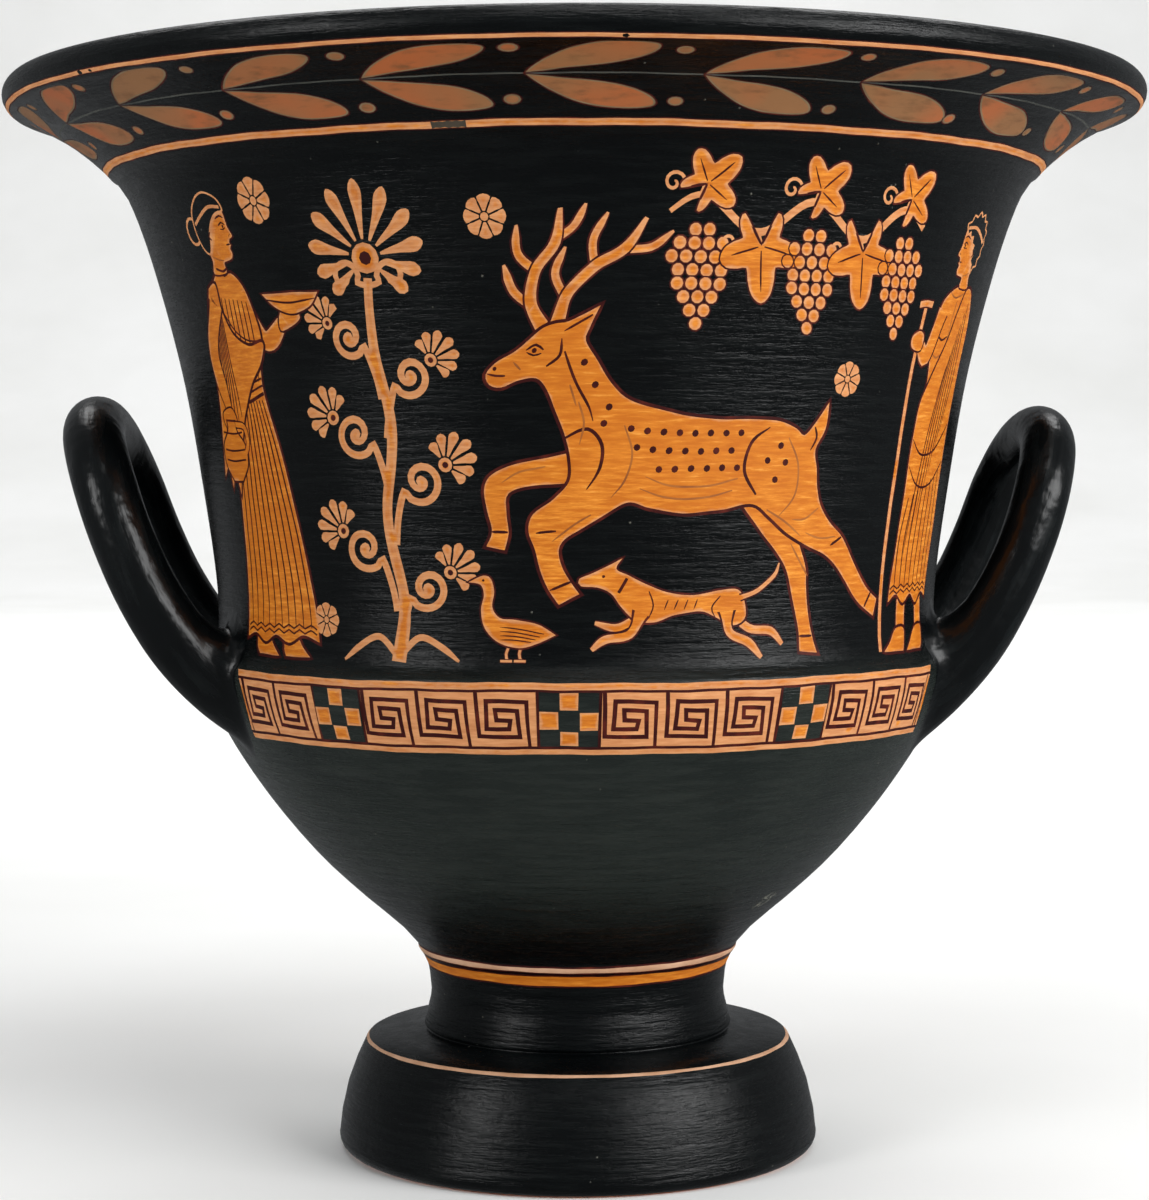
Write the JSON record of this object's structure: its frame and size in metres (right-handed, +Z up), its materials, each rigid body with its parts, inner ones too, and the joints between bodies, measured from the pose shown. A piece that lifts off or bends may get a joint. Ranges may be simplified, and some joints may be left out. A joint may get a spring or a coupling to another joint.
{
  "type": "calyx-krater",
  "caption": "Wide-mouthed painted clay mixing bowl with two upright loop handles, a short stem and a disc foot.",
  "frame": {"origin": "on the vessel's axis, in the plane that the foot's ring stands on", "axes": "+Z up along the turned body's axis, -Y towards the painted front, the two handles at +X and -X"},
  "size_m": [0.354, 0.354, 0.333],
  "materials": {
    "painted_clay": "satin black slip with orange-brown painted bands and figures"
  },
  "bodies": {
    "root": {"krater": "painted_clay"}
  },
  "joints": []
}
